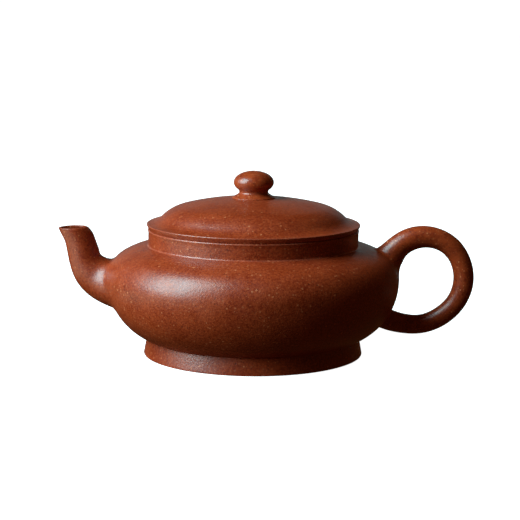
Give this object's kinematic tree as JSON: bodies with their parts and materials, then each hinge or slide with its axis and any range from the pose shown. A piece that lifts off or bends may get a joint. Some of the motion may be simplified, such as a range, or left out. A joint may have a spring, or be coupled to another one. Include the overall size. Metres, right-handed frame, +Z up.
{
  "type": "teapot",
  "caption": "Squat unglazed clay teapot with a curved spout, a ring handle, a foot ring and a flanged lift-off lid with a flattened ball knob; it brews and pours tea.",
  "frame": {"origin": "on the pot's vertical axis, in the plane of the foot ring's flat underside, which is the table", "axes": "+Z up along the pot's axis, the spout points to -X and the handle to +X"},
  "size_m": [0.1597, 0.1122, 0.0703],
  "materials": {
    "body_clay": "unglazed fired orange-brown clay, satin, fine grained with sparse pale ochre specks",
    "burnished_clay": "the same clay rubbed smoother, a soft gloss",
    "inner_clay": "the same clay left unburnished, matte"
  },
  "bodies": {
    "pot": {"belly_wall": "body_clay", "shoulder_disc": "body_clay", "neck_collar": "body_clay", "base_disc": "body_clay", "foot_ring": "body_clay", "spout": "body_clay", "spout_strainer": "inner_clay", "handle": "burnished_clay"},
    "lid_flange_ring": {"lid_flange": "inner_clay"},
    "lid": {"lid_dome": "body_clay", "lid_rim": "body_clay", "knob": "burnished_clay"}
  },
  "joints": [
    {"name": "lid_lift", "type": "slide", "parent": "pot", "child": "lid_flange_ring", "axis": [0, 0, 1], "range_m": [0, 0.05]},
    {"name": "lid_turn", "type": "hinge", "parent": "lid_flange_ring", "child": "lid", "pos_m": [0, 0, 0.0493], "axis": [0, 0, 1], "continuous": true}
  ]
}
